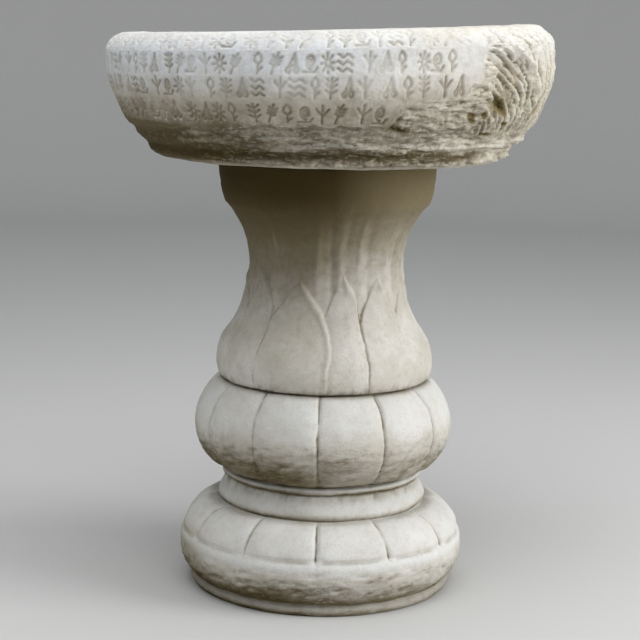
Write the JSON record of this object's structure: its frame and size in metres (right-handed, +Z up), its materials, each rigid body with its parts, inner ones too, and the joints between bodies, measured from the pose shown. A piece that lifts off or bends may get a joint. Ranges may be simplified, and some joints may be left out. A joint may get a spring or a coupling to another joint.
{
  "type": "bird bath",
  "caption": "Cast-stone bird bath: a rough-sided shallow bowl that turns and lifts off a carved, hollow baluster pedestal.",
  "frame": {"origin": "on the ground, on the axis of the pedestal", "axes": "+Z up along the pedestal and the locating dowel; the bowl's rim stands highest at +X; -Y is the dressed front"},
  "size_m": [0.457, 0.457, 0.5914],
  "materials": {
    "pedestal_stone": "matte",
    "bowl_stone": "matte",
    "stainless_steel": "satin",
    "sleeve_plastic": "matte",
    "neoprene": "matte"
  },
  "bodies": {
    "pedestal": {"pedestal": "pedestal_stone", "pedestal_sleeve": "sleeve_plastic"},
    "swivel": {"locating_dowel": "stainless_steel", "bearing_pad": "neoprene"},
    "bowl": {"bowl": "bowl_stone", "bowl_sleeve": "sleeve_plastic"}
  },
  "joints": [
    {"name": "bowl_turn", "type": "hinge", "parent": "pedestal", "child": "swivel", "pos_m": [0, 0, 0.45], "axis": [0, 0, 1], "continuous": true},
    {"name": "bowl_lift", "type": "slide", "parent": "swivel", "child": "bowl", "axis": [0, 0, 1], "range_m": [0, 0.12]}
  ]
}
